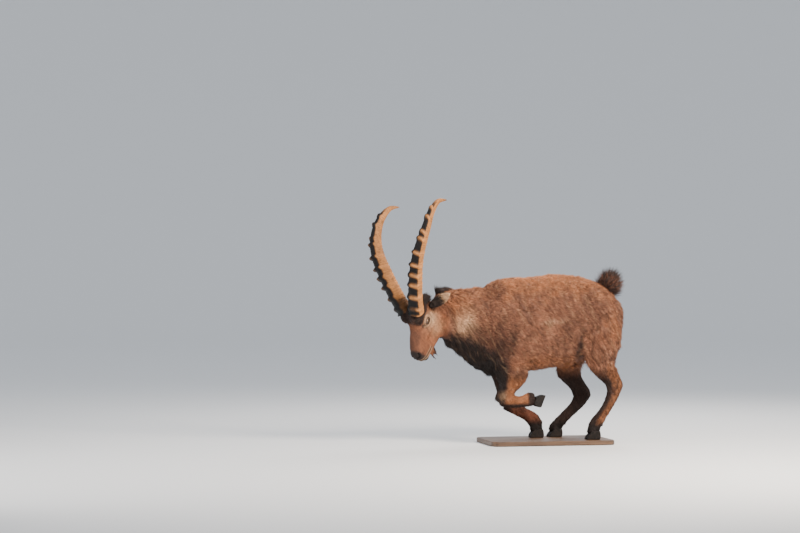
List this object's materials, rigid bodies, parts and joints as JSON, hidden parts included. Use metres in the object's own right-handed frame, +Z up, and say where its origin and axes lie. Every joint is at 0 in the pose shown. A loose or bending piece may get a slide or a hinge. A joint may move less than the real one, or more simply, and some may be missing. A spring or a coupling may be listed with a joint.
{
  "type": "alpine ibex model",
  "caption": "Life-size still model of an alpine ibex, a horned mountain goat gathered for a leap with one foreleg raised, standing on a flat base plate.",
  "frame": {"origin": "the middle of the base plate's underside", "axes": "+Z up; the animal faces -X, its left side is towards -Y and its right side towards +Y"},
  "size_m": [1.3884, 0.5009, 1.314],
  "materials": {
    "coat": "short matte fur",
    "dark_coat": "long matte fur",
    "horn": "ridged natural horn, satin",
    "eye": "gloss",
    "hoof": "worn natural hoof, satin",
    "stand": "satin"
  },
  "bodies": {
    "root": {"torso": "coat", "neck": "coat", "head": "coat", "ear_left": "coat", "ear_right": "coat", "hind_left_thigh": "coat", "hind_left_shank": "coat", "hind_left_cannon": "coat", "hind_right_thigh": "coat", "hind_right_shank": "coat", "hind_right_cannon": "coat", "fore_left_forearm": "coat", "fore_left_cannon": "coat", "fore_right_forearm": "coat", "fore_right_cannon": "coat", "tail": "dark_coat", "eye_left": "eye", "eye_right": "eye", "horn_left": "horn", "horn_right": "horn", "hind_left_claw_left": "hoof", "hind_left_claw_right": "hoof", "hind_right_claw_left": "hoof", "hind_right_claw_right": "hoof", "fore_left_claw_left": "hoof", "fore_left_claw_right": "hoof", "fore_right_claw_left": "hoof", "fore_right_claw_right": "hoof", "stand_base": "stand"}
  },
  "joints": []
}
